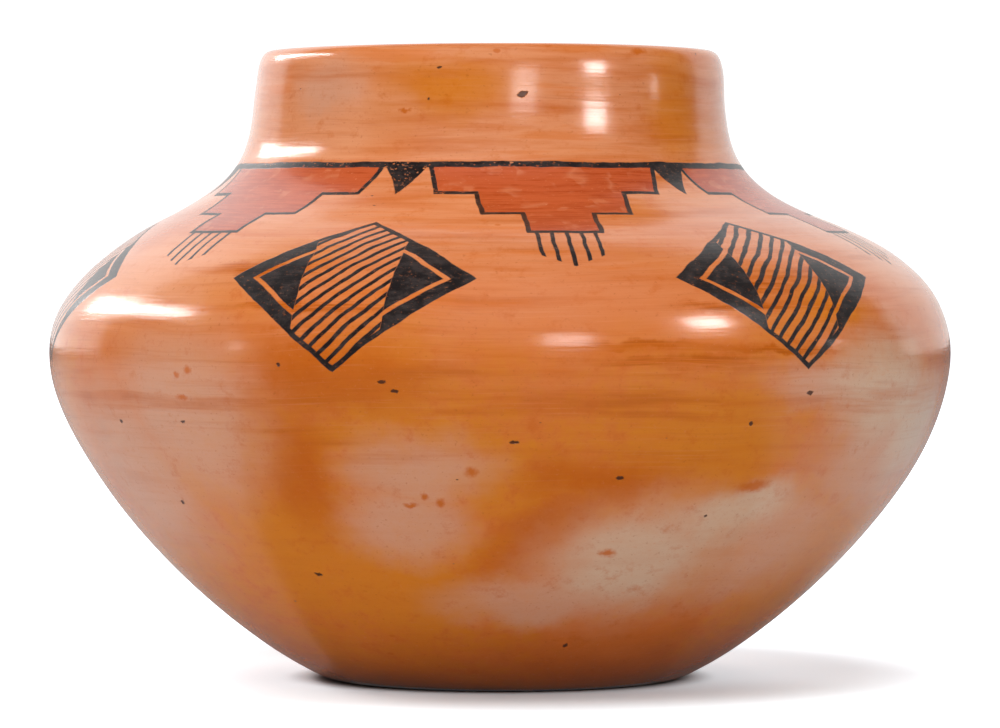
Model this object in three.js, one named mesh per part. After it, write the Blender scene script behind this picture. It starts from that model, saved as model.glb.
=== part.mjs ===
// A pottery jar with a wide belly and a short collared neck, hand built from coils of clay and fired.
// It is made from the bottom up: a base pressed into a shallow dish, then eleven coils, each lapped over
// the inner edge of the one below. The jar stands on z = 0, and the axis of its belly is x = y = 0.
// Lengths are in millimetres and +Z is up. A profile point holds the radius in x and the height in y.

import * as THREE from "three";

// Outside of the jar: the radius and height of each level that sets its shape. The flat of the foot ends
// at the rest's radius, and a worn edge rounds up from it to the flare.
const restRadius = 39;
const footEdge = new THREE.Vector2(43.8, 1.1);
const belly = new THREE.Vector2(105.25, 76.1);
const neckRoot = new THREE.Vector2(76.9, 107.3);
const collar = new THREE.Vector2(54.7, 138.5);
const lip = new THREE.Vector2(51.2, 146.5);

// Directions in which the outside runs up through those levels, in degrees from level
const flareAngle = 25.2;
const neckRootAngle = 156.5;
const collarAngle = 94.4;

// How far each level's direction holds: the reach of the curve's handle below it and above it
const restReach = 1.6;
const footReachBelow = 1.6;
const footReachAbove = 26.1;
const bellyReachBelow = 26.6;
const bellyReachAbove = 13.1;
const neckRootReachBelow = 20.1;
const neckRootReachAbove = 22.2;
const collarReachBelow = 15;
const collarReachAbove = 4.5;
const lipReach = 2.6;

// The wall tapers from the base to the collar, and the base's floor is a little thinner than its edge
const wallAtFoot = 7.5;
const wallAtCollar = 5.6;
const floorThickness = 6.4;

// The coils were not laid quite above one another: heights, and how far to the right the wall stands there.
// The foot lies a little to the right of the belly, and the collar to the left.
const lean = [[0, 0.85], [46, 0.85], [72, 0], [82, 0], [93, 0.4], [98, 0.3], [113, -2.6], [134, -2.6], [141, -2.3]];

// Each joint slopes down from the outer face to the inner one, by the lap, and is a hairline wide.
// Fingers drawn round the inside have left each coil a little hollow between its joints.
const lap = 6;
const jointGap = 0.1;
const fingerHollow = 0.5;

// The courses from the bottom up: how much of the wall's length each takes, and its fired colour.
// The rim coil takes what is left.
const courses = [
  { name: "puki_base", width: 26.5, color: 0xb87a42 },
  { name: "lower_wall_coil_1", width: 17, color: 0xc98847 },
  { name: "lower_wall_coil_2", width: 17, color: 0xd2934d },
  { name: "lower_wall_coil_3", width: 17, color: 0xdc9d55 },
  { name: "lower_wall_coil_4", width: 17, color: 0xe0a765 },
  { name: "belly_coil", width: 17, color: 0xd9ab70 },
  { name: "shoulder_coil_1", width: 14, color: 0xa85a3c },
  { name: "shoulder_coil_2", width: 14, color: 0xd8b384 },
  { name: "shoulder_coil_3", width: 14, color: 0xc4704a },
  { name: "neck_coil_1", width: 13.5, color: 0xe2bf93 },
  { name: "neck_coil_2", width: 13.5, color: 0xe6c28d },
  { name: "rim_coil", color: 0xe9c795 },
];

// Facets round the jar, and along each coil's outer and inner face
const facetsRound = 64;
const facetsAlongCoil = 3;
const facetsAlongBase = 4;
const facetsAlongFootEdge = 2;
const facetsAlongLip = 3;

function heading(degrees) {
  const angle = THREE.MathUtils.degToRad(degrees);
  return new THREE.Vector2(Math.cos(angle), Math.sin(angle));
}

// A curve up the outside between two levels, leaving and meeting them in their directions
function stretch(from, fromAngle, fromReach, to, toAngle, toReach) {
  const leave = from.clone().addScaledVector(heading(fromAngle), fromReach);
  const meet = to.clone().addScaledVector(heading(toAngle), -toReach);
  return new THREE.CubicBezierCurve(from, leave, meet, to);
}

// The outside of the wall from the edge of the foot to the collar
const outside = new THREE.CurvePath();
outside.add(stretch(footEdge, flareAngle, footReachAbove, belly, 90, bellyReachBelow));
outside.add(stretch(belly, 90, bellyReachAbove, neckRoot, neckRootAngle, neckRootReachBelow));
outside.add(stretch(neckRoot, neckRootAngle, neckRootReachAbove, collar, collarAngle, collarReachBelow));
const wallLength = outside.getLength();

function outerPoint(along) {
  return outside.getPoint(along / wallLength);
}

// The point of the inner face that lies behind a point of the outside
function innerPoint(along, hollow = 0) {
  const fraction = along / wallLength;
  const direction = outside.getTangent(fraction);
  const inward = new THREE.Vector2(-direction.y, direction.x);
  const thickness = THREE.MathUtils.lerp(wallAtFoot, wallAtCollar, fraction) - hollow;
  return outerPoint(along).addScaledVector(inward, thickness);
}

function outerFace(from, to, facets) {
  return Array.from({ length: facets + 1 }, (_, i) => outerPoint(THREE.MathUtils.lerp(from, to, i / facets)));
}

// The inner face from one joint to the next, hollowed by the fingers in between
function innerFace(from, to, facets) {
  return Array.from({ length: facets + 1 }, (_, i) => {
    const fraction = i / facets;
    return innerPoint(THREE.MathUtils.lerp(from, to, fraction), fingerHollow * Math.sin(Math.PI * fraction));
  });
}

// The rounded lip, from the collar's outer edge over the crown to its inner edge
function lipFace() {
  const outerEdge = stretch(collar, collarAngle, collarReachAbove, lip, 180, lipReach);
  const innerEdge = new THREE.CubicBezierCurve(
    lip,
    lip.clone().addScaledVector(heading(180), lipReach / 2),
    innerPoint(wallLength).addScaledVector(heading(90), collarReachAbove),
    innerPoint(wallLength),
  );
  return [...outerEdge.getPoints(facetsAlongLip), ...innerEdge.getPoints(facetsAlongLip).slice(1)];
}

// The section of a coil, as a loop of profile points that ends where it starts. A joint's outer end
// stands half a lap above the course's mark, and its inner end half a lap below.
function coilSection(bottom, top) {
  const outer = outerFace(bottom + lap / 2 + jointGap / 2, top + lap / 2 - jointGap / 2, facetsAlongCoil);
  const inner = innerFace(top - lap / 2 - jointGap / 2, bottom - lap / 2 + jointGap / 2, facetsAlongCoil);
  return [...outer, ...inner, outer[0]];
}

function rimSection(bottom) {
  const outer = outerFace(bottom + lap / 2 + jointGap / 2, wallLength, 1);
  const inner = innerFace(wallLength, bottom - lap / 2 + jointGap / 2, facetsAlongCoil);
  return [outer[0], ...lipFace(), ...inner.slice(1), outer[0]];
}

// The base: its flat foot, its rounded edge, its flare, the joint for the first coil and the dished floor
function baseSection(top) {
  const rest = new THREE.Vector2(restRadius, 0);
  const edge = stretch(rest, 0, restReach, footEdge, flareAngle, footReachBelow).getPoints(facetsAlongFootEdge);
  const outer = outerFace(0, top + lap / 2 - jointGap / 2, facetsAlongBase);
  const inner = innerFace(top - lap / 2 - jointGap / 2, 0, facetsAlongBase);
  return [new THREE.Vector2(0, 0), ...edge, ...outer.slice(1), ...inner, new THREE.Vector2(0, floorThickness)];
}

// How far to the right the wall stands at a height, running smoothly from one level of the list to the next
function sideways(height) {
  let shift = lean[0][1];
  for (let i = 1; i < lean.length; i += 1) {
    const [start, startShift] = lean[i - 1];
    const [end, endShift] = lean[i];
    shift += (endShift - startShift) * THREE.MathUtils.smoothstep(height, start, end);
  }
  return shift;
}

// Turns a section round the jar's axis, then carries it sideways by its lean
function turned(section) {
  const geometry = new THREE.LatheGeometry(section, facetsRound).rotateX(Math.PI / 2);
  const position = geometry.attributes.position;
  for (let i = 0; i < position.count; i += 1) {
    position.setX(i, position.getX(i) + sideways(position.getZ(i)));
  }
  geometry.computeVertexNormals();
  return geometry;
}

const jar = new THREE.Group();
let mark = 0;
courses.forEach((course, number) => {
  const top = mark + course.width;
  let section;
  if (number === 0) {
    section = baseSection(top);
  } else if (number === courses.length - 1) {
    section = rimSection(mark);
  } else {
    section = coilSection(mark, top);
  }
  const material = new THREE.MeshStandardMaterial({ color: course.color, roughness: 0.25, metalness: 0 });
  const mesh = new THREE.Mesh(turned(section), material);
  mesh.name = course.name;
  jar.add(mesh);
  mark = top;
});

export default jar;
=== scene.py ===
# A hand-coiled, stone-burnished and painted pottery jar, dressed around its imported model.
# Everything is in metres, in the model's frame: +Z up, the foot on z = 0, -Y towards the photograph's camera.
# Sizes are written in millimetres where a potter would measure them, and turned into metres by MM.
import math

import bmesh
import bpy
import numpy as np
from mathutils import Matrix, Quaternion, Vector, geometry, noise


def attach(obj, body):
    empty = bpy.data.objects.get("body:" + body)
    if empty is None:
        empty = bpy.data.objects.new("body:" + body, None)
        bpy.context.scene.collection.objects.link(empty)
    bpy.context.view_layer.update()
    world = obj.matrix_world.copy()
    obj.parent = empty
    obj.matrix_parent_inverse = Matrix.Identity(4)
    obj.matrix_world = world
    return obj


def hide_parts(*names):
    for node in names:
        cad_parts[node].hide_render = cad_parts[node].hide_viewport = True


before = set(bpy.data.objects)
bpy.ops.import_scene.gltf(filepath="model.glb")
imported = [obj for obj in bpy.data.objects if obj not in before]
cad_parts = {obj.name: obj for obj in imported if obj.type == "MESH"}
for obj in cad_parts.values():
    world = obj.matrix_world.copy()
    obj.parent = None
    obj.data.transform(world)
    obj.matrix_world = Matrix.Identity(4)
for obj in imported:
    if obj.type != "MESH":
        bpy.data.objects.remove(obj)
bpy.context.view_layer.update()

scene = bpy.context.scene
scene.view_settings.view_transform = "Standard"
MM = 0.001


# The photograph's camera: a long lens a little above the shoulder, aimed at the middle of the picture
CAMERA_DISTANCE = 1.179
CAMERA_HEIGHT = 0.1030
AIM_HEIGHT = 0.0733
LENS_MM = 181.0

camera = bpy.data.objects.new("camera", bpy.data.cameras.new("camera"))
camera.data.lens = LENS_MM
camera.data.sensor_width = 36.0
camera.location = (0, -CAMERA_DISTANCE, CAMERA_HEIGHT)
camera.rotation_euler = (Vector((0, 0, AIM_HEIGHT)) - camera.location).to_track_quat("-Z", "Y").to_euler()
scene.collection.objects.link(camera)
scene.camera = camera


# The wall of the jar. Its clay was coiled up from a base pressed in a shallow dish, scraped and smoothed
# into one wall, so the outline is drawn once, from the middle of the foot over the lip to the middle of
# the floor inside, and each coil is parted from it afterwards where the maker joined it.
REST_RADIUS = 39
FOOT_EDGE = (43.8, 1.1)
BELLY = (105.25, 76.1)
NECK_ROOT = (76.9, 107.3)
COLLAR = (54.7, 138.5)
LIP = (51.2, 146.5)
FLARE_ANGLE, NECK_ROOT_ANGLE, COLLAR_ANGLE = 25.2, 156.5, 94.4
WALL_AT_FOOT, WALL_AT_COLLAR, FLOOR = 7.5, 5.6, 6.4
LAP = 6
FINGER_HOLLOW = 0.5

# How far the outline's direction at each level holds, below that level and above it
REST_REACH, FOOT_REACH_BELOW, FOOT_REACH_ABOVE = 1.6, 1.6, 26.1
BELLY_REACH_BELOW, BELLY_REACH_ABOVE = 26.6, 13.1
NECK_ROOT_REACH_BELOW, NECK_ROOT_REACH_ABOVE = 20.1, 22.2
COLLAR_REACH_BELOW, COLLAR_REACH_ABOVE = 15, 4.5
LIP_REACH = 2.6

# The coils from the bottom up, and how much of the wall's length each takes. The rim coil takes the rest.
COURSES = [
    ("puki_base", 26.5), ("lower_wall_coil_1", 17), ("lower_wall_coil_2", 17), ("lower_wall_coil_3", 17),
    ("lower_wall_coil_4", 17), ("belly_coil", 17), ("shoulder_coil_1", 14), ("shoulder_coil_2", 14),
    ("shoulder_coil_3", 14), ("neck_coil_1", 13.5), ("neck_coil_2", 13.5), ("rim_coil", 0),
]

# How finely the wall is drawn: points on each curve, the steps along each face, and the steps round the jar
CURVE_POINTS = 400
REST_STEP, OUTLINE_STEP, LIP_STEP, INSIDE_STEP = 2, 1.0, 0.6, 1.6
FOOT_ROUNDING_STRIDE = 50
FLOOR_STEPS = 20
STEPS_ROUND = 256


def toward(degrees):
    return Vector((math.cos(math.radians(degrees)), math.sin(math.radians(degrees))))


def stretch(start, start_angle, start_reach, end, end_angle, end_reach):
    """Points up the outline between two levels, leaving and meeting them in their directions."""
    leave = Vector(start) + toward(start_angle) * start_reach
    meet = Vector(end) - toward(end_angle) * end_reach
    return geometry.interpolate_bezier(Vector(start), leave, meet, Vector(end), CURVE_POINTS)


def lengths_along(points):
    """How far along a curve each of its points lies."""
    return np.concatenate([[0], np.cumsum([(b - a).length for a, b in zip(points, points[1:])])])


def point_at(along, points, lengths):
    """The radius and height of a curve at a length along it."""
    return Vector([float(np.interp(along, lengths, [point[i] for point in points])) for i in (0, 1)])


foot_rounding = stretch((REST_RADIUS, 0), 0, REST_REACH, FOOT_EDGE, FLARE_ANGLE, FOOT_REACH_BELOW)
bowl = stretch(FOOT_EDGE, FLARE_ANGLE, FOOT_REACH_ABOVE, BELLY, 90, BELLY_REACH_BELOW)
shoulder = stretch(BELLY, 90, BELLY_REACH_ABOVE, NECK_ROOT, NECK_ROOT_ANGLE, NECK_ROOT_REACH_BELOW)
neck = stretch(NECK_ROOT, NECK_ROOT_ANGLE, NECK_ROOT_REACH_ABOVE, COLLAR, COLLAR_ANGLE, COLLAR_REACH_BELOW)
outside = bowl + shoulder[1:] + neck[1:]
travel = lengths_along(outside)
WALL_LENGTH = float(travel[-1])


def outer_point(along):
    """The outline's radius and height at a length along the wall from the edge of the foot."""
    return point_at(along, outside, travel)


def inner_point(along, hollow=0.0):
    """The point of the inner face behind a point of the outline."""
    either_side = 0.5
    low = outer_point(max(along - either_side, 0))
    high = outer_point(min(along + either_side, WALL_LENGTH))
    direction = (high - low).normalized()
    share = along / WALL_LENGTH
    thickness = WALL_AT_FOOT + (WALL_AT_COLLAR - WALL_AT_FOOT) * share - hollow
    return outer_point(along) + Vector((-direction.y, direction.x)) * thickness


def spaced(start, end, step):
    """Lengths from start to end in equal steps of about the size given, without the last."""
    count = max(1, round(abs(end - start) / step))
    return [start + (end - start) * i / count for i in range(count)]


# Each outline point is a radius, a height, its length along the wall and its course's number and share
marks = np.cumsum([0] + [width for _, width in COURSES[:-1]])
outer_joints = [0.0] + [float(mark) + LAP / 2 for mark in marks[1:]] + [WALL_LENGTH]
inner_joints = [0.0] + [float(mark) - LAP / 2 for mark in marks[1:]] + [WALL_LENGTH]
RIM = len(COURSES) - 1
outline = []

# Under the foot: its flat and its rounded edge, whose curve is a little longer than its run
foot_length = FOOT_EDGE[0] + 0.2
flat_foot = [(radius, 0) for radius in spaced(0, REST_RADIUS, REST_STEP)]
for radius, height in flat_foot + [tuple(point) for point in foot_rounding[:-1:FOOT_ROUNDING_STRIDE]]:
    outline.append((radius, height, radius - foot_length, radius / foot_length - 1))

# Up the outside
for course in range(len(COURSES)):
    low, high = outer_joints[course:course + 2]
    for along in spaced(low, high, OUTLINE_STEP):
        share = (along - low) / (high - low) * (0.5 if course == RIM else 1)
        outline.append((*outer_point(along), along, course + share))

# Over the lip
collar_inside = inner_point(WALL_LENGTH)
lip_outer = stretch(COLLAR, COLLAR_ANGLE, COLLAR_REACH_ABOVE, LIP, 180, LIP_REACH)
lip_inner = stretch(LIP, 180, LIP_REACH / 2, collar_inside, -90, COLLAR_REACH_ABOVE)
lip = lip_outer + lip_inner[1:]
lip_travel = lengths_along(lip)
LIP_LENGTH = float(lip_travel[-1])
for along in spaced(0, LIP_LENGTH, LIP_STEP):
    outline.append((*point_at(along, lip, lip_travel), WALL_LENGTH + along, RIM + 0.5))

# Down the inside, and over the dished floor to its middle
for course in reversed(range(len(COURSES))):
    low, high = inner_joints[course:course + 2]
    for along in spaced(high, low, INSIDE_STEP):
        share = (along - low) / (high - low)
        point = inner_point(along, FINGER_HOLLOW * math.sin(math.pi * share))
        down_inside = WALL_LENGTH + LIP_LENGTH + WALL_LENGTH - along
        outline.append((*point, down_inside, course + share * (0.5 if course == RIM else 1)))
floor_edge = inner_point(0)
for step in range(FLOOR_STEPS):
    share = step / FLOOR_STEPS
    radius = floor_edge.x * (1 - share)
    height = FLOOR + (floor_edge.y - FLOOR) * (1 - share) ** 2
    outline.append((radius, height, 2 * WALL_LENGTH + LIP_LENGTH + floor_edge.x * share, -share))
outline.append((0, FLOOR, 2 * WALL_LENGTH + LIP_LENGTH + floor_edge.x, -1))

wall = bmesh.new()
along_layer = wall.verts.layers.float.new("along")
course_layer = wall.verts.layers.float.new("course")
previous = None
for radius, height, along, course in outline:
    vert = wall.verts.new((0, -radius * MM, height * MM))
    vert[along_layer], vert[course_layer] = along, course
    if previous:
        wall.edges.new((previous, vert))
    previous = vert
bmesh.ops.spin(wall, geom=wall.verts[:] + wall.edges[:], axis=(0, 0, 1), cent=(0, 0, 0),
               angle=math.tau, steps=STEPS_ROUND, use_merge=True)
bmesh.ops.remove_doubles(wall, verts=wall.verts[:], dist=1e-6)
bmesh.ops.recalc_face_normals(wall, faces=wall.faces[:])

# The hand's work on the wall: coils that were not laid quite above one another, so that the wall leans to
# the right or left from height to height, low swells round the body and a lip that rises and falls a
# little. The swells fade towards the foot, which stands flat.
LEAN = [(0, 0.85), (46, 0.85), (72, 0), (82, 0), (93, 0.4), (98, 0.3), (113, -2.6), (134, -2.6), (141, -2.3)]
SWELL, SWELLS_ROUND, SWELL_HEIGHT = 0.22, 1.6, 55
SWELL_BETWEEN = (2, 30)
LIP_WAVER, LIP_WAVER_TURN = 0.1, 0.7
LIP_WAVER_BETWEEN = (110, 147)


def ramp(value, low, high):
    """Runs smoothly from 0 at low to 1 at high."""
    share = min(max((value - low) / (high - low), 0), 1)
    return share * share * (3 - 2 * share)


def sideways(height):
    """How far to the right the wall stands at a height, running smoothly from level to level."""
    shift = LEAN[0][1]
    for (start, start_shift), (end, end_shift) in zip(LEAN, LEAN[1:]):
        shift += (end_shift - start_shift) * ramp(height, start, end)
    return shift


for vert in wall.verts:
    height = vert.co.z / MM
    angle = math.atan2(vert.co.x, -vert.co.y)
    outward = Vector((vert.co.x, vert.co.y, 0)).normalized()
    around = Vector((math.sin(angle), math.cos(angle), height / SWELL_HEIGHT)) * SWELLS_ROUND
    swell = SWELL * noise.noise(around) * ramp(height, *SWELL_BETWEEN)
    waver = LIP_WAVER * math.sin(2 * angle + LIP_WAVER_TURN) * ramp(height, *LIP_WAVER_BETWEEN)
    vert.co += outward * swell * MM
    vert.co.x += sideways(height) * MM
    vert.co.z += waver * MM
wall.normal_update()
normal_layer = wall.verts.layers.float_vector.new("wall_normal")
for vert in wall.verts:
    vert[normal_layer] = vert.normal
face_course = wall.faces.layers.int.new("face_course")
for face in wall.faces:
    middle = sum(vert[course_layer] for vert in face.verts) / len(face.verts)
    face[face_course] = max(math.floor(middle), 0)
    face.smooth = True


# Shader maths. A Wire is one output of a material's nodes, and arithmetic on it adds the Math nodes.
class Wire:
    def __init__(self, finish, socket):
        self.finish, self.socket = finish, socket

    def math(self, operation, *others, first=True):
        values = (self, *others) if first else (*others, self)
        return self.finish.node("ShaderNodeMath", {"operation": operation}, dict(enumerate(values)))

    def __add__(self, other):
        return self.math("ADD", other)

    def __sub__(self, other):
        return self.math("SUBTRACT", other)

    def __rsub__(self, other):
        return self.math("SUBTRACT", other, first=False)

    def __mul__(self, other):
        return self.math("MULTIPLY", other)

    def __truediv__(self, other):
        return self.math("DIVIDE", other)

    def __neg__(self):
        return self * -1

    def __abs__(self):
        return self.math("ABSOLUTE")

    __radd__, __rmul__ = __add__, __mul__

    def rise(self, low, high):
        """Runs smoothly from 0 at low to 1 at high, or the other way round where low is the larger."""
        if low > high:
            return 1 - self.rise(high, low)
        return self.finish.node("ShaderNodeMapRange", {"interpolation_type": "SMOOTHSTEP"}, {
            "Value": self, "From Min": low, "From Max": high})


class Finish:
    """The nodes of a new material, or of a light's or the room's own block, whose output comes last."""

    def __init__(self, block, output="ShaderNodeOutputMaterial"):
        self.block, self.output = block, output
        block.use_nodes = True
        self.tree = block.node_tree
        self.tree.nodes.clear()

    def node(self, kind, settings=None, inputs=None, output=0):
        made = self.tree.nodes.new(kind)
        for name, value in (settings or {}).items():
            setattr(made, name, value)
        for key, value in (inputs or {}).items():
            if isinstance(key, int):
                socket = made.inputs[key]
            else:
                socket = next(s for s in made.inputs if key in (s.identifier, s.name))
            if isinstance(value, Wire):
                self.tree.links.new(value.socket, socket)
            else:
                socket.default_value = value
        if isinstance(output, int):
            return Wire(self, made.outputs[output])
        return Wire(self, next(s for s in made.outputs if output in (s.identifier, s.name)))

    def done(self, shader):
        """Connects the shader and gives the finished block."""
        out = self.tree.nodes.new(self.output)
        self.tree.links.new(shader.socket, out.inputs["Surface"])
        return self.block

    def mix(self, below, above, share):
        """One colour laid over another by a share from 0 to 1."""
        inputs = {"Factor_Float": share, "A_Color": below, "B_Color": above}
        return self.node("ShaderNodeMix", {"data_type": "RGBA"}, inputs, "Result_Color")

    def noise(self, where, size, detail=3.0, offset=0.0, rough=0.5):
        """Noise from 0 to 1 whose features have the size given, in millimetres along x, y and z. The offset
        moves it to another place of its own."""
        scaled = self.node("ShaderNodeMapping", None, {
            "Vector": where,
            "Location": (offset, offset * 1.7, offset * 0.6),
            "Scale": tuple(1 / each for each in size)})
        inputs = {"Vector": scaled, "Scale": 1.0, "Detail": detail, "Roughness": rough}
        return self.node("ShaderNodeTexNoise", None, inputs)


# The clay body where it is left bare, inside the jar: scraped with a gourd rind while it was leather hard
# and wiped smooth by hand, then fired dull buff. Slip laps over the lip and ends unevenly in the neck.
CLAY = (0.50, 0.27, 0.14, 1)
CLAY_DARK = (0.36, 0.17, 0.085, 1)
CLAY_ROUGHNESS = 0.78
SLIP_INSIDE = 9
SCRAPE_DEPTH, GRIT_DEPTH = 0.16, 0.05
HAND_DRIFT = 5
PATCH_REACH, PATCH_FULL = 1.6, 0.78
POLISH_ROUGHNESS = 0.11


def outer_radius(height):
    return float(np.interp(height, [point.y for point in outside], [point.x for point in outside]))


class Pottery(Finish):
    """A finish for the wall. Colours are laid on it one over another, each with its roughness, its relief in
    millimetres and its glaze, which is how much of a stone's polish lies over it. What the hand drew round
    the jar follows the rub: the place, with the length along the wall for its height."""

    def __init__(self, name):
        super().__init__(bpy.data.materials.new(name))
        metres = self.node("ShaderNodeTexCoord", None, None, "Object")
        self.place = self.node("ShaderNodeVectorMath", {"operation": "SCALE"}, {0: metres, "Scale": 1 / MM})
        self.across, self.deep, self.height = [
            self.node("ShaderNodeSeparateXYZ", None, {0: self.place}, axis) for axis in "XYZ"]
        self.along = self.node("ShaderNodeAttribute", {"attribute_name": "along"}, None, "Fac")
        lift = self.along + HAND_DRIFT * self.noise(self.place, (60, 60, 40), detail=1, offset=27.0)
        self.rub = self.node("ShaderNodeCombineXYZ", None, {0: self.across, 1: self.deep, 2: lift})
        self.strokes = self.noise(self.rub, (34, 34, 1.6), detail=4, offset=6.0, rough=0.55)
        self.hairs = self.noise(self.rub, (26, 26, 0.5), detail=3, offset=3.0, rough=0.6)
        self.drift = self.noise(self.place, (18, 18, 18), detail=4, offset=4.0, rough=0.6)

    def wander(self, size, reach):
        """The place, pushed about by noise of a size, so that what is drawn on it has an uneven edge."""
        push = self.node("ShaderNodeTexNoise", None, {
            "Vector": self.place, "Scale": 1 / size, "Detail": 6.0, "Roughness": 0.6}, "Color")
        shifted = self.node("ShaderNodeVectorMath", {"operation": "SUBTRACT"}, {
            0: self.place, 1: (reach / 2,) * 3})
        return self.node("ShaderNodeVectorMath", {"operation": "MULTIPLY_ADD"}, {
            0: push, 1: (reach,) * 3, 2: shifted})

    def patch(self, where, angle, height, half_width, half_height, tilt=0):
        """A soft-edged patch, from 0 outside it to 1 in its middle: an angle round the jar from the front,
        a height, half a width and half a height in millimetres, and a tilt upwards to the right."""
        radius, turn, half_depth = outer_radius(height), math.radians(angle), max(half_width, 30)
        local = self.node("ShaderNodeMapping", {"vector_type": "TEXTURE"}, {
            "Vector": where,
            "Location": (radius * math.sin(turn) + sideways(height), -radius * math.cos(turn), height),
            "Rotation": (0, -math.radians(tilt), turn),
            "Scale": tuple(half * PATCH_REACH for half in (half_width, half_depth, half_height))})
        near = self.node("ShaderNodeTexGradient", {"gradient_type": "SPHERICAL"}, {"Vector": local}, "Fac")
        return near.rise(0, PATCH_FULL)

    def strongest(self, where, patches):
        """A share that is that of whichever patch is strongest there."""
        share = self.patch(where, *patches[0])
        for each in patches[1:]:
            share = share.math("MAXIMUM", self.patch(where, *each))
        return share

    def scatter(self, size, kept, radius, offset):
        """Specks strewn over the wall, one at most in each cell of the size given, in the share of the cells
        that is kept. The radius is a share of a cell."""
        scaled = self.node("ShaderNodeMapping", None, {
            "Vector": self.rub,
            "Location": (offset, offset, offset),
            "Scale": tuple(1 / each for each in size)})
        away = self.node("ShaderNodeTexVoronoi", None, {"Vector": scaled, "Scale": 1.0}, "Distance")
        lot = self.node("ShaderNodeSeparateColor", None, {0: Wire(self, away.socket.node.outputs["Color"])})
        return lot.rise(1 - kept, 1 - kept + 0.01) * away.rise(radius * 1.3, radius * 0.7)

    def lay(self, colour, share, roughness=None, relief=None, glaze=None):
        """Lays a colour over what is there by a share, with its own roughness, relief and glaze if given."""
        share = share.math("MINIMUM", 1.0).math("MAXIMUM", 0.0)
        self.colour = self.mix(self.colour, colour, share)
        if roughness is not None:
            self.roughness = self.roughness + (roughness - self.roughness) * share
        if relief is not None:
            self.relief = self.relief + relief * share
        if glaze is not None:
            self.glaze = self.glaze + (glaze - self.glaze) * share

    def bare_inside(self):
        """Ends the slip on a ragged line inside the neck, and shows the scraped clay below it."""
        edge = WALL_LENGTH + LIP_LENGTH + SLIP_INSIDE
        inside = (self.along + (self.drift - 0.5) * 9).rise(edge - 0.5, edge + 0.5)
        scrapes = self.noise(self.rub, (18, 18, 1.1), detail=4, offset=7.0, rough=0.65)
        grit = self.noise(self.place, (0.7, 0.7, 0.7), detail=2, offset=5.0)
        patches = self.noise(self.place, (30, 30, 22), detail=4, offset=11.0)
        clay = self.mix(CLAY, CLAY_DARK, (patches * 0.7 + scrapes * 0.3).rise(0.42, 0.66))
        self.lay(clay, inside, CLAY_ROUGHNESS, SCRAPE_DEPTH * scrapes + GRIT_DEPTH * grit, 0.0)

    def fired(self):
        """The finished material."""
        self.bare_inside()
        bump = self.node("ShaderNodeBump", None, {"Height": self.relief, "Distance": MM, "Strength": 1.0})
        return self.done(self.node("ShaderNodeBsdfPrincipled", None, {
            "Base Color": self.colour, "Roughness": self.roughness, "Normal": bump,
            "Coat Weight": self.glaze, "Coat Roughness": POLISH_ROUGHNESS}))


# The slip: a thin coat of fine iron-bearing clay, rubbed to a gloss with a smooth stone while it dried.
# The open fire turned it from buff to deep orange, with pink blushes, and grey-white clouds where smoke
# lay against it. Each list gives patches as angle, height, half width, half height and tilt.
BUFF = (0.70, 0.28, 0.130, 1)
PEACH = (0.62, 0.19, 0.066, 1)
GOLD = (0.62, 0.178, 0.010, 1)
ORANGE = (0.62, 0.150, 0.022, 1)
OCHRE = (0.51, 0.100, 0.000, 1)
UMBER = (0.33, 0.062, 0.002, 1)
BLUSH = (0.61, 0.29, 0.175, 1)
CLOUD = (0.62, 0.41, 0.280, 1)
PIT_SHADE = (0.075, 0.018, 0.003, 1)
GOLDS = [
    (-35, 34, 12, 12), (28, 58, 18, 9), (50, 133, 8, 12), (-9, 137, 15, 6), (46, 88, 12, 3),
    (140, 60, 30, 14), (-150, 92, 34, 6), (-95, 126, 22, 8)]
OCHRES = [
    (-20, 74, 20, 9), (-27, 52, 8, 14), (5, 38, 17, 6, 33), (13, 50, 18, 5), (-70, 105, 24, 5),
    (105, 60, 28, 16, 12), (150, 38, 34, 10, -20), (-140, 66, 40, 12, 4), (-165, 136, 24, 9),
    (-100, 34, 20, 12, 16), (128, 104, 34, 6)]
BUFFS = [(-38, 128, 16, 12), (-50, 94, 22, 10), (-76, 64, 16, 16), (70, 98, 20, 8), (-160, 112, 24, 10)]
BLUSHES = [
    (-43, 64, 20, 19), (-58, 50, 20, 20), (-11, 53, 15, 8), (-14, 41, 13, 8), (42, 71, 13, 5),
    (60, 53, 24, 12), (-43, 137, 10, 6), (21, 33, 24, 14, 12), (42, 34, 22, 12, 8), (4, 23, 18, 6),
    (172, 58, 26, 18), (-118, 48, 24, 15, 10), (120, 132, 22, 12), (-90, 88, 30, 8)]
CLOUDS = [
    (21, 33, 16, 9, 10), (34, 42, 14, 6, 16), (55, 70, 18, 12), (60, 68, 11, 8), (67, 61, 14, 11),
    (160, 76, 30, 12, 6), (-128, 26, 22, 10, -14), (-92, 60, 14, 11)]
STREAKS = [
    (23, 76, 17, 1.7), (37, 78.5, 13, 0.8), (36, 93, 9, 2.6), (31, 88, 14, 1.2), (16, 80, 12, 0.9),
    (46, 95, 12, 1.3), (-32, 96, 13, 1.4), (-24, 88, 16, 1.0), (-130, 92, 22, 1.6), (165, 84, 26, 1.4),
    (95, 88, 20, 2)]
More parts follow.
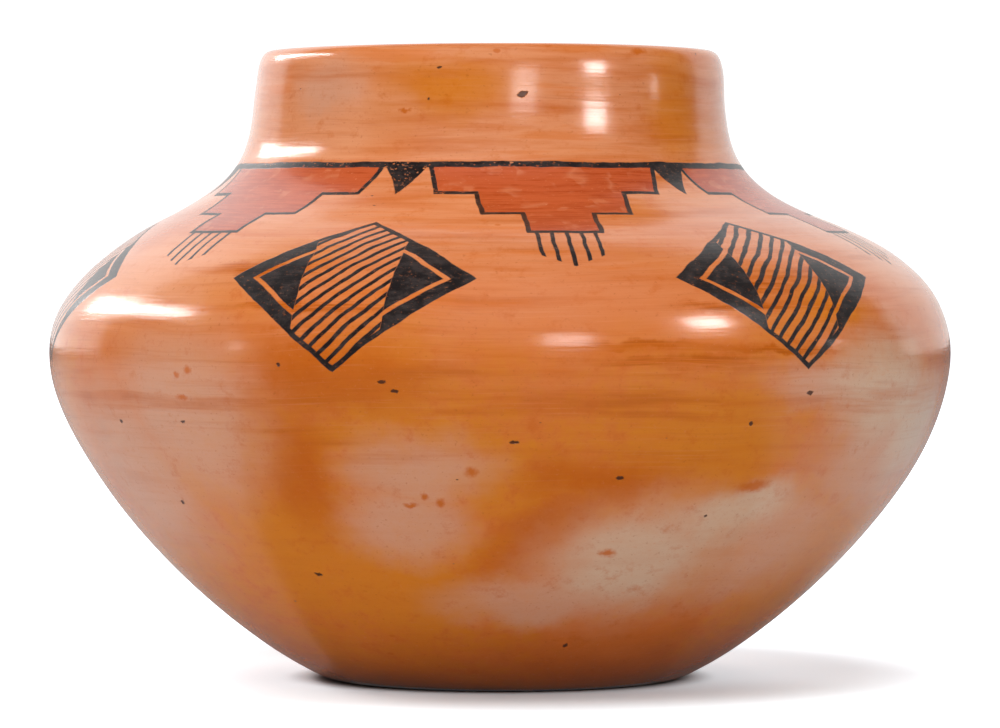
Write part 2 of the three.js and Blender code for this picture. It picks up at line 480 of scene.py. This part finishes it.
PITS = [
    (8, 135, 1.2, 0.6, 20), (-12, 141, 0.6, 0.3), (-14, 134, 0.3, 0.3), (-14, 72, 0.9, 0.4),
    (-12.5, 70, 0.9, 0.3), (-27, 75.5, 0.5, 0.4), (-43, 62.5, 0.8, 0.3), (-56, 62, 0.6, 0.4),
    (-51, 44, 0.6, 0.4), (-31, 28.5, 0.9, 0.4), (40.5, 69, 0.9, 0.4), (32, 62.5, 0.5, 0.5),
    (15, 51, 0.9, 0.4), (1.5, 59, 1.1, 0.4), (29, 42, 0.5, 0.4), (13, 12, 0.5, 0.5)]
FLECKS = [
    (-8.5, 45.5, 1.0, 0.9), (-10.5, 47, 0.8, 0.7), (-12.5, 45, 1.4, 0.6), (-4, 52.5, 1.4, 1.0),
    (35, 48.5, 4, 1.2, 6), (-40.5, 74, 0.9, 0.8), (-42.5, 73, 0.7, 0.6), (-42, 68, 1.6, 0.6),
    (-20, 131.5, 1.4, 0.4), (39, 145, 2.2, 0.7), (15.5, 34, 1.8, 0.8)]


def slipped(name):
    """The burnished slip before any paint. The stone's strokes show most on the upper half of the jar, and
    fade down the bowl."""
    pot = Pottery(name)
    uneven = pot.wander(16, 13)
    broad = pot.noise(pot.place, (46, 46, 30), detail=4, offset=9.0)
    bands = pot.noise(pot.rub, (44, 44, 5), detail=5, offset=2.0, rough=0.62)
    mottle = pot.noise(pot.place, (5, 5, 4), detail=5, offset=14.0, rough=0.72)
    fine = pot.noise(pot.place, (1.1, 1.1, 0.8), detail=3, offset=1.0, rough=0.7)
    streaky = pot.height.rise(40, 72) * 0.85 + 0.15
    smears = pot.noise(pot.rub, (52, 52, 4), detail=4, offset=8.0, rough=0.55)

    pot.colour = pot.mix(GOLD, ORANGE, (broad * 0.6 + mottle * 0.4).rise(0.40, 0.58))
    pot.roughness = 0.185 + 0.10 * (pot.strokes - 0.5) + 0.08 * (mottle - 0.5)
    pot.relief = 0.06 * bands + 0.05 * pot.strokes + 0.03 * pot.hairs + 0.003 * fine
    pot.glaze = pot.drift * 0.3 + 0.05

    # Paler upwards and a deeper, darker orange towards the foot, and then the fire's patches
    upper = (pot.height + (pot.drift - 0.5) * 26).rise(60, 96)
    pot.lay(PEACH, upper * (0.5 + 0.5 * broad.rise(0.35, 0.6)))
    pot.lay(BUFF, (pot.height + (pot.drift - 0.5) * 20).rise(86, 114) * bands.rise(0.38, 0.60) * 0.8)
    pot.lay(ORANGE, bands.rise(0.52, 0.66) * streaky * 0.6)
    pot.lay(OCHRE, (pot.height + (pot.drift - 0.5) * 18).rise(20, 0) * 0.7)
    marks = ((GOLD, GOLDS), (OCHRE, OCHRES), (BUFF, BUFFS), (BLUSH, BLUSHES), (CLOUD, CLOUDS))
    for colour, patches in marks:
        pot.lay(colour, pot.strongest(uneven, patches) * (0.88 + 0.6 * (broad + mottle - 1)))

    # What the stone did: streaks, smears and hairlines
    streaks = pot.strongest(pot.wander(7, 5), STREAKS) * pot.strokes.rise(0.30, 0.60)
    pot.lay(OCHRE, streaks * 0.8)
    pot.lay(UMBER, streaks * pot.hairs.rise(0.38, 0.62) * 0.55)
    pot.lay(OCHRE, smears.rise(0.45, 0.70) * streaky * 0.5)
    pot.lay(UMBER, smears.rise(0.54, 0.76) * pot.drift.rise(0.42, 0.60) * streaky * 0.3)
    pot.lay(OCHRE, pot.strokes.rise(0.48, 0.80) * streaky * 0.25)
    pot.lay(UMBER, pot.hairs.rise(0.54, 0.78) * streaky * 0.2)
    pot.lay(BUFF, pot.hairs.rise(0.44, 0.22) * streaky * 0.25)

    # What the clay holds: mottling, grains, flecks and pits. The pits are darkened with painted shade for
    # their hollows, which are only a bump
    pot.lay(OCHRE, mottle.rise(0.52, 0.74) * 0.45)
    pot.lay(UMBER, fine.rise(0.60, 0.74) * 0.35)
    pot.lay(PEACH, fine.rise(0.40, 0.28) * 0.3)
    pot.lay(OCHRE, pot.scatter((12, 12, 8), 0.14, 0.07, 8.0) * 0.7)
    pot.lay(OCHRE, pot.strongest(pot.wander(1.6, 2.0), FLECKS) * 0.85)
    shaded_pits = pot.strongest(pot.wander(1.0, 1.2), PITS).rise(0.25, 0.75)
    shaded_pits = shaded_pits.math("MAXIMUM", pot.scatter((9, 9, 5), 0.25, 0.034, 2.0))
    # Painted shade: the pits and pinholes take a near-black colour for the shade inside them
    pot.lay(PIT_SHADE, shaded_pits * 0.95, 0.35, -0.15, 0)
    return pot


bare_slip = slipped("burnished_slip").fired()


# The painting on the shoulder: mineral black boiled with beeweed, drawn with a chewed yucca leaf, and
# brick-red slip. A framing line rings the neck's root. Six stepped red terraces hang from it with rain
# lines under them, and a lozenge with black tips and a hatched middle lies between each two.
BLACK = (0.009, 0.006, 0.006, 1)
CHARCOAL = (0.034, 0.024, 0.022, 1)
BRICK = (0.38, 0.048, 0.006, 1)
BRICK_LIGHT = (0.50, 0.088, 0.022, 1)
PAINTED_COURSES = range(5, 11)
REPEATS = 6
FIRST_TERRACE = 10
FRAMING_HEIGHT = 119.3
FRAMING_WIDTH, LINE_WIDTH, RAIN_WIDTH = 1.6, 1.15, 0.95
TERRACE_STEPS = [(26, 9.5), (17, 19), (8.2, 28.5)]
RAIN_PITCH, RAIN_END = 3.3, 42
LOZENGE_DOWN, LOZENGE_HALF_WIDTH, LOZENGE_HALF_HEIGHT = 46, 28, 21.5
HATCH_REACH, HATCH_WIDTH, HATCH_PITCH = 10.5, 1.0, 2.6
ECHO_INSET, ECHO_WIDTH = 3.4, 1.0
TOOTH_HALF_WIDTH, TOOTH_LENGTH = 5, 10
WAVER_DOWN, WAVER_ACROSS, PRESSURE = 1.3, 1.6, 0.2
EDGE = 0.13


def painted(pot):
    """Lays the red slip and then the black paint, both rubbed thin in places by use."""
    waver, other_waver = [
        pot.noise(pot.rub, (9, 9, 9), detail=3, offset=offset) - 0.5 for offset in (1.0, 21.0)]
    pressure = pot.noise(pot.rub, (5, 5, 5), detail=3, offset=31.0, rough=0.6) - 0.5
    angle = pot.across.math("ARCTAN2", -pot.deep)
    radius = (pot.across * pot.across + pot.deep * pot.deep).math("SQRT")
    framing_along = float(np.interp(FRAMING_HEIGHT, [point.y for point in outside], travel))
    down = framing_along - pot.along + waver * WAVER_DOWN
    sector = math.tau / REPEATS

    def off_centre(turn):
        """How far round the jar a point lies from the nearest of six centre lines, the first at a turn."""
        return (angle - turn).math("WRAP", sector / 2, -sector / 2) * radius + other_waver * WAVER_ACROSS

    def within(distance):
        return distance.rise(EDGE, -EDGE)

    def line(distance, width):
        return within(abs(distance) - width / 2 + pressure * width * PRESSURE)

    def stripes(distance, pitch, width):
        return line(distance.math("WRAP", pitch / 2, -pitch / 2), width)

    # Distances from the edges of the terraces and the lozenges, below 0 inside them
    first = math.radians(FIRST_TERRACE)
    from_terrace = abs(off_centre(first))
    steps = [(from_terrace - half_width).math("MAXIMUM", down - depth) for half_width, depth in TERRACE_STEPS]
    terrace = steps[0].math("MINIMUM", steps[1]).math("MINIMUM", steps[2]).math("MAXIMUM", -down)
    rain = stripes(off_centre(first), RAIN_PITCH, RAIN_WIDTH) * within(from_terrace - TERRACE_STEPS[-1][0])
    rain = rain * within(down - RAIN_END + from_terrace * 0.5) * within(TERRACE_STEPS[-1][1] - down)
    across = off_centre(first + sector / 2)
    deep = down - LOZENGE_DOWN
    slope = LOZENGE_HALF_WIDTH * LOZENGE_HALF_HEIGHT / math.hypot(LOZENGE_HALF_WIDTH, LOZENGE_HALF_HEIGHT)
    lozenge = (abs(across) / LOZENGE_HALF_WIDTH + abs(deep) / LOZENGE_HALF_HEIGHT - 1) * slope
    tips = within(HATCH_REACH - abs(across)) * (1 - line(lozenge + ECHO_INSET, ECHO_WIDTH))
    hatching = stripes((across + deep) * math.sqrt(0.5), HATCH_PITCH, HATCH_WIDTH)
    filling = within(lozenge) * tips.math("MAXIMUM", hatching * within(abs(across) - HATCH_REACH))
    tooth = within((abs(across) / TOOTH_HALF_WIDTH + down / TOOTH_LENGTH - 1) * 4) * within(-down)
    black = line(down, FRAMING_WIDTH)
    for part in (line(terrace, LINE_WIDTH), line(lozenge, LINE_WIDTH), filling, tooth, rain):
        black = black.math("MAXIMUM", part)

    # The coats: red slip with scratches in it, and then the black, worn along the framing line
    outside_only = pot.along.rise(WALL_LENGTH + 4, WALL_LENGTH)
    specks = pot.noise(pot.rub, (1.0, 1.0, 0.6), detail=2, offset=13.0, rough=0.7)
    rubbed = pot.patch(pot.wander(14, 12), -12, 119, 44, 9)
    worn = specks.rise(0.60, 0.66) * (0.15 + 0.7 * rubbed) + specks.rise(0.70, 0.74) * 0.4
    strokes = pot.noise(pot.rub, (8, 8, 1.0), detail=4, offset=17.0, rough=0.65)
    brick = pot.mix(BRICK, BRICK_LIGHT, (strokes * 0.6 + pot.hairs * 0.4 + rubbed * 0.14).rise(0.42, 0.66))
    red = within(terrace) * outside_only
    scratches = line(pot.noise(pot.place, (9, 9, 3.5), detail=1, offset=41.0) - 0.5, 0.012)
    pot.lay(brick, red * (1 - 0.5 * specks.rise(0.66, 0.72)), 0.26, 0.01, 0.2)
    scratched = pot.noise(pot.place, (5, 5, 5), detail=2, offset=43.0).rise(0.52, 0.6)
    pot.lay(BUFF, red * scratches * scratched * 0.5)
    thin = pot.noise(pot.rub, (4, 4, 2.5), detail=5, offset=17.0, rough=0.75).rise(0.42, 0.62)
    ink = pot.mix(BLACK, CHARCOAL, thin)
    pot.lay(ink, black * (1 - worn) * outside_only, 0.36, 0.02, 0.12)
    return pot


painted_slip = painted(slipped("painted_slip")).fired()


# The coils, from the base to the rim. Each is a closed ring of clay: its outer and inner faces are the
# wall's own, and a lapped joint slopes between them above and below.
LEVEL_TOLERANCE = 0.01


def part_off(course):
    """A coil's own faces of the wall, closed by its joints."""
    piece = wall.copy()
    level = piece.verts.layers.float["course"]
    owner = piece.faces.layers.int["face_course"]
    bmesh.ops.delete(piece, geom=[f for f in piece.faces if f[owner] != course], context="FACES")
    for joint in (course, course + 1):
        edges = [e for e in piece.edges if e.is_boundary and abs(e.verts[0][level] - joint) < LEVEL_TOLERANCE]
        if edges:
            bmesh.ops.bridge_loops(piece, edges=edges)
    return piece


for course, (name, _) in enumerate(COURSES):
    ring = part_off(course)
    bmesh.ops.recalc_face_normals(ring, faces=ring.faces[:])
    for face in ring.faces:
        face.smooth = True
    mesh = bpy.data.meshes.new(name + "_clay")
    ring.to_mesh(mesh)
    ring.free()

    # The faces keep the whole wall's normals, so that no joint shows in the gloss, and a joint keeps its own
    wall_normals = np.zeros(len(mesh.vertices) * 3, np.float32)
    mesh.attributes["wall_normal"].data.foreach_get("vector", wall_normals)
    wall_normals = wall_normals.reshape(-1, 3)
    levels = np.zeros(len(mesh.vertices), np.float32)
    mesh.attributes["course"].data.foreach_get("value", levels)
    normals = np.zeros((len(mesh.loops), 3))
    for polygon in mesh.polygons:
        ends = [levels[vertex] for vertex in polygon.vertices]
        level = max(ends) - min(ends) < LEVEL_TOLERANCE
        on_joint = level and abs(ends[0] - round(ends[0])) < LEVEL_TOLERANCE and 0.5 < ends[0] < RIM + 0.5
        for loop in polygon.loop_indices:
            normals[loop] = polygon.normal if on_joint else wall_normals[mesh.loops[loop].vertex_index]
    mesh.normals_split_custom_set(normals.tolist())

    mesh.materials.append(painted_slip if course in PAINTED_COURSES else bare_slip)
    for spare in ("wall_normal", "course", "face_course"):
        mesh.attributes.remove(mesh.attributes[spare])
    coil = bpy.data.objects.new(name + "_clay", mesh)
    scene.collection.objects.link(coil)
    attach(coil, "root")
    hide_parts(name)
    "painted_clay" if course in PAINTED_COURSES else "burnished_clay"
wall.free()


# The studio: a table of white paper under a big soft lamp. Its far part is made white by a painted glow that
# only the camera sees. The paper lights the jar from below and mirrors in it, except from the camera's side,
# where a painted dark reflection, standing for the photographer's dark room, takes its place.
PAPER_SIZE = 60.0
PAPER_WHITE = (0.84, 0.89, 0.92, 1)
PAPER_ROUGHNESS = 0.9
# Painted shadow: close round the foot the paper's own colour turns near black for the contact shade, between
# the distances in metres given
PAINTED_FOOT_SHADOW = (0.03, 0.03, 0.03, 1)
PAINTED_FOOT_SHADOW_ENDS = (0.038, 0.046)

# Painted light: a glow that only the camera sees on the paper, low near the jar and strong far off, with more
# behind the foot and to the left, and none at the foot, which leaves a painted shadow there. Then the
# distances in metres between which it changes
GLOW_NEAR, GLOW_FAR, GLOW_BEHIND, GLOW_LEFT = 0.1, 1.0, 0.4, 0.3
GLOW_GROWS = (0.055, 0.15)
GLOW_BEHIND_ROUND, GLOW_BEHIND_BACK = (0.10, 0.06), (-0.066, 0.002)
GLOW_LEFT_ACROSS = (0.05, 0.09)
CONTACT_ENDS = (0.042, 0.052)
GLOW_TINT = (0.95, 1.01, 1.06)
# Painted reflection: how bright the dim glow is that the jar's gloss sees in the paper's place, how much of
# the lit paper the gloss keeps, and how wide the dark part on the camera's side is
DARK_REFLECTION_GLOW = 0.06
MIRRORED_PAPER = 0.5
DARK_REFLECTION_SECTOR = 0.5
paper_sheet = bmesh.new()
bmesh.ops.create_grid(paper_sheet, x_segments=1, y_segments=1, size=PAPER_SIZE / 2)
paper_mesh = bpy.data.meshes.new("paper")
paper_sheet.to_mesh(paper_mesh)
paper_sheet.free()
paper = bpy.data.objects.new("paper", paper_mesh)
scene.collection.objects.link(paper)
white_paper = Finish(bpy.data.materials.new("white_paper"))
paper_place = white_paper.node("ShaderNodeTexCoord", None, None, "Object")
from_jar = white_paper.node("ShaderNodeVectorMath", {"operation": "LENGTH"}, {0: paper_place}, "Value")
paper_across = white_paper.node("ShaderNodeSeparateXYZ", None, {0: paper_place}, "X")
paper_back = white_paper.node("ShaderNodeSeparateXYZ", None, {0: paper_place}, "Y")
# Painted light and shadow on the paper: the camera-only glow grows away from the jar, is lifted behind the
# foot and to the left, and falls to nothing at the foot
glow = GLOW_NEAR + (GLOW_FAR - GLOW_NEAR) * from_jar.rise(*GLOW_GROWS)
behind_foot = paper_back + (-paper_across).math("MAXIMUM", 0.0) * 0.5
glow = glow + GLOW_BEHIND * from_jar.rise(*GLOW_BEHIND_ROUND) * behind_foot.rise(*GLOW_BEHIND_BACK)
glow = (glow + GLOW_LEFT * (-paper_across).rise(*GLOW_LEFT_ACROSS)) * from_jar.rise(*CONTACT_ENDS)
glow = glow * white_paper.node("ShaderNodeLightPath", None, None, "Is Camera Ray")
# The paper's colour carries the painted contact shadow round the foot
lit_paper = white_paper.node("ShaderNodeBsdfPrincipled", None, {
    "Base Color": white_paper.mix(PAINTED_FOOT_SHADOW, PAPER_WHITE, from_jar.rise(*PAINTED_FOOT_SHADOW_ENDS)),
    "Roughness": PAPER_ROUGHNESS, "Specular IOR Level": 0.0, "Emission Strength": 1.0,
    "Emission Color": white_paper.node("ShaderNodeVectorMath", {"operation": "SCALE"}, {
        0: GLOW_TINT, "Scale": glow})})
# Painted reflection: for gloss rays the paper is half swapped for a dim glow, and wholly on the camera's
# side, so the jar mirrors a dark table in front of it
painted_dark_reflection = white_paper.node("ShaderNodeEmission", None, {"Strength": DARK_REFLECTION_GLOW})
in_front = ((paper_back + abs(paper_across) * DARK_REFLECTION_SECTOR) / from_jar).rise(0.05, -0.2)
from_gloss = white_paper.node("ShaderNodeLightPath", None, None, "Is Glossy Ray")
paper_mesh.materials.append(white_paper.done(white_paper.node("ShaderNodeMixShader", None, {
    0: in_front.math("MAXIMUM", 1 - MIRRORED_PAPER) * from_gloss, 1: lit_paper, 2: painted_dark_reflection})))


# The lamps aim at the jar's shoulder. Some only light the clay, and some are only mirrored in its polish.
LAMP_TARGET = Vector((0, 0, 0.09))


def lamp(name, azimuth, elevation, distance, width, height, power, lights=True, mirrored=True, roll=0):
    """A soft lamp at an angle round the jar from the camera's side, an angle above it and a distance, with
    its width and height in metres, its power in watts and a roll about its own beam."""
    data = bpy.data.lights.new(name, "AREA")
    data.shape, data.size, data.size_y, data.energy = "RECTANGLE", width, height, power
    light = bpy.data.objects.new(name, data)
    turn, lift = math.radians(azimuth), math.radians(elevation)
    aside, above = math.cos(lift) * distance, math.sin(lift) * distance
    light.location = LAMP_TARGET + Vector((math.sin(turn) * aside, -math.cos(turn) * aside, above))
    facing = (LAMP_TARGET - light.location).to_track_quat("-Z", "Y")
    light.rotation_euler = (facing @ Quaternion((0, 0, 1), math.radians(roll))).to_euler()
    light.visible_diffuse, light.visible_glossy = lights, mirrored
    scene.collection.objects.link(light)


lamp("top", -6, 66, 1.6, 1.2, 1.2, 20, mirrored=False)
lamp("side", -118, 26.8, 1.6, 1.2, 0.14, 10.6, roll=22)
lamp("key", 54, 22, 1.6, 0.4, 0.4, 4, mirrored=False)
lamp("key_glint", 47.5, 22.2, 0.285, 0.044, 0.038, 0.13, lights=False)
lamp("front_glint", 15, 15, 0.4, 0.07, 0.06, 0.11, lights=False)
lamp("right_glint", 85, 9, 0.6, 0.03, 0.04, 0.04, lights=False)
lamp("left_glint", -64, 9, 0.6, 0.03, 0.07, 0.03, lights=False)
lamp("fill_high", -15, 35, 1.6, 1.2, 0.9, 6.2, mirrored=False)
lamp("fill_left", -50, 14, 1.6, 1.0, 0.7, 1.2, mirrored=False)

# The room is white behind the jar, and dark on the camera's side. The camera itself sees it white all round.
ROOM_BEHIND, ROOM_BEHIND_LEFT, ROOM_FRONT, ROOM_SEEN = 1.0, 1.4, 0.08, 1.1
room = Finish(bpy.data.worlds.new("room"), "ShaderNodeOutputWorld")
toward_room = room.node("ShaderNodeTexCoord", None, None, "Generated")
behind = room.node("ShaderNodeSeparateXYZ", None, {0: toward_room}, "Y").rise(0.49, 0.55)
left = room.node("ShaderNodeSeparateXYZ", None, {0: toward_room}, "X").rise(0.1, -0.5)
seen = room.node("ShaderNodeLightPath", None, None, "Is Camera Ray")


def between(low, high, share):
    return low + (high - low) * share


brightness = between(ROOM_FRONT, between(ROOM_BEHIND, ROOM_BEHIND_LEFT, left), behind)
brightness = between(brightness, ROOM_SEEN, seen)
white = {"Color": (1, 1, 1, 1), "Strength": brightness}
scene.world = room.done(room.node("ShaderNodeBackground", None, white))
